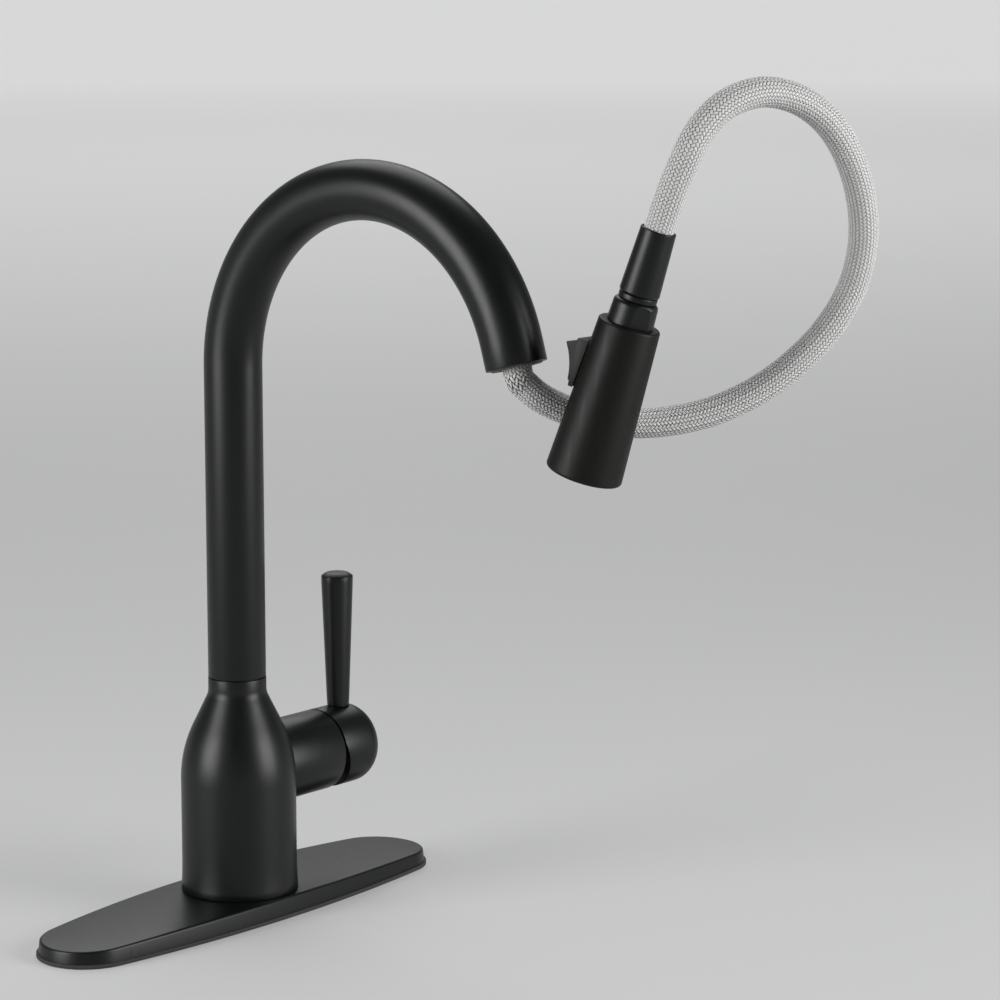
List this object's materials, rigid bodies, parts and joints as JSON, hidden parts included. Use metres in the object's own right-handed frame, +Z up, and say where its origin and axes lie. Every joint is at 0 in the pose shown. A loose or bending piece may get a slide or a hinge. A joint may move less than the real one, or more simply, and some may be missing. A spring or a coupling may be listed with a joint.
{
  "type": "kitchen faucet",
  "caption": "Pull-down kitchen faucet with deck plate, side lever handle, swivelling gooseneck spout and a spray head drawn out on its braided hose.",
  "frame": {"origin": "centre of the deck plate in the plane of the counter's top surface, on the axis of the spout's swivel", "axes": "+Z up along the swivel axis, -Y the way the spout reaches, +X towards the handle"},
  "size_m": [0.26, 0.3318, 0.535],
  "materials": {
    "black_coat": "satin",
    "black_plastic": "satin",
    "dark_plastic": "matt",
    "grey_plastic": "matt",
    "grey_brown_plastic": "matt",
    "slide_plastic": "smooth",
    "seal_rubber": "matt",
    "nozzle_rubber": "matt",
    "brass": "machined",
    "copper": "drawn",
    "steel": "machined",
    "ceramic": "polished",
    "braid": "braided"
  },
  "bodies": {
    "base": {"deck_gasket": "seal_rubber", "deck_plate": "black_coat", "plate_liner": "grey_plastic", "base_seal": "seal_rubber", "base_body": "black_coat", "swivel_hub": "brass", "swivel_washer": "black_plastic", "hub_circlip": "steel", "shank": "brass", "rubber_washer": "seal_rubber", "steel_washer": "steel", "mounting_nut": "brass", "inlet_hot": "copper", "inlet_cold": "copper", "valve_arm": "black_coat", "water_block": "brass", "cartridge_case": "grey_plastic", "fixed_disc": "ceramic", "seat_seals": "seal_rubber", "cartridge_nut": "brass", "bonnet_ring": "black_coat", "spout_seal": "seal_rubber"},
    "carrier": {"stem_carrier": "grey_plastic", "stem_pin": "steel"},
    "disc": {"moving_disc": "ceramic"},
    "handle": {"handle_stem": "steel", "handle_dome": "black_coat", "lever": "black_coat", "set_screw": "steel"},
    "spout": {"spout_tube": "black_coat", "bush_lower": "slide_plastic", "bush_upper": "slide_plastic", "mouth_insert": "grey_brown_plastic", "inner_hose": "braid", "hose_coupling": "brass", "coupling_seal": "seal_rubber", "free_hose": "braid", "hose_ferrule": "black_coat", "swivel_stem": "brass"},
    "head": {"coupling_nut": "black_coat", "swivel_collar": "black_coat", "hose_gasket": "seal_rubber", "inlet_screen": "steel", "inlet_spigot": "grey_plastic", "head_shell": "black_plastic", "diverter_body": "grey_plastic", "face_ring": "black_plastic", "nozzle_face": "dark_plastic", "rubber_nozzles": "nozzle_rubber", "aerator": "steel", "button_frame": "black_plastic", "rocker_pin": "steel"},
    "rocker": {"rocker_button": "black_plastic"},
    "spool": {"diverter_spool": "black_plastic"}
  },
  "joints": [
    {"name": "spout_swivel", "type": "hinge", "parent": "base", "child": "spout", "pos_m": [0, 0, 0.12], "axis": [0, 0, 1], "continuous": true},
    {"name": "handle_turn", "type": "hinge", "parent": "base", "child": "carrier", "pos_m": [0.046, 0, 0.0712], "axis": [1, 0, 0], "range_deg": [-45, 45]},
    {"name": "handle_tilt", "type": "hinge", "parent": "carrier", "child": "handle", "pos_m": [0.046, 0, 0.0712], "axis": [0, 1, 0], "range_deg": [0, 16]},
    {"name": "disc_slide", "type": "slide", "parent": "carrier", "child": "disc", "axis": [0, 0, 1], "range_m": [0, 0.0027]},
    {"name": "head_spin", "type": "hinge", "parent": "spout", "child": "head", "pos_m": [0.01581, -0.23822, 0.3212], "axis": [0.0879, -0.2876, 0.9537], "continuous": true},
    {"name": "rocker_tilt", "type": "hinge", "parent": "head", "child": "rocker", "pos_m": [0.01063, -0.21349, 0.29506], "axis": [0.9858, 0.1626, -0.0419], "range_deg": [0, 12]},
    {"name": "spool_slide", "type": "slide", "parent": "head", "child": "spool", "axis": [-0.0879, 0.2876, -0.9537], "range_m": [0, 0.0016]}
  ],
  "couplings": [
    {"joint": "disc_slide", "follows": "handle_tilt", "m_per_rad": 0.0092},
    {"joint": "spool_slide", "follows": "rocker_tilt", "m_per_rad": 0.007}
  ]
}
